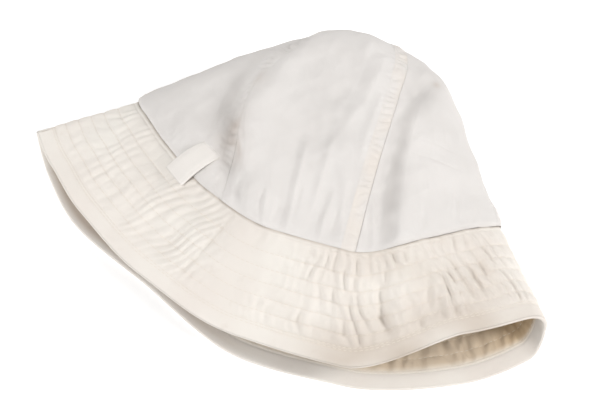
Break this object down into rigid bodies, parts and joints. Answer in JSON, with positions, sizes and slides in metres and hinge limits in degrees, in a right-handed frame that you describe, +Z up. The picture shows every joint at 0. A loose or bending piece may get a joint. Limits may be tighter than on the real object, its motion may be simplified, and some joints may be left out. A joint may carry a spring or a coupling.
{
  "type": "sailor cap with its brim turned down",
  "caption": "Soft cotton cap lying on its side: a gored crown, a row-stitched brim turned down all round and a small strap loop.",
  "frame": {"origin": "on the table, under the middle of the cap's bounding box", "axes": "+X along the brim from its closed left tip to its open right end, -Y out of the cap's mouth, +Y towards the crown's far end, +Z up from the table"},
  "size_m": [0.3298, 0.2034, 0.0739],
  "materials": {
    "crown_cotton": "thin plain-woven cotton, matt, cool white",
    "brim_drill": "heavier cotton drill in two layers, matt, cream white, stitched in rows",
    "loop_cotton": "folded cotton strap, matt, cream white"
  },
  "bodies": {
    "root": {"brim": "brim_drill", "crown_gore_1": "crown_cotton", "crown_gore_2": "crown_cotton", "crown_gore_3": "crown_cotton", "crown_gore_4": "crown_cotton", "crown_gore_5": "crown_cotton", "crown_gore_6": "crown_cotton", "strap_loop": "loop_cotton"}
  },
  "joints": []
}
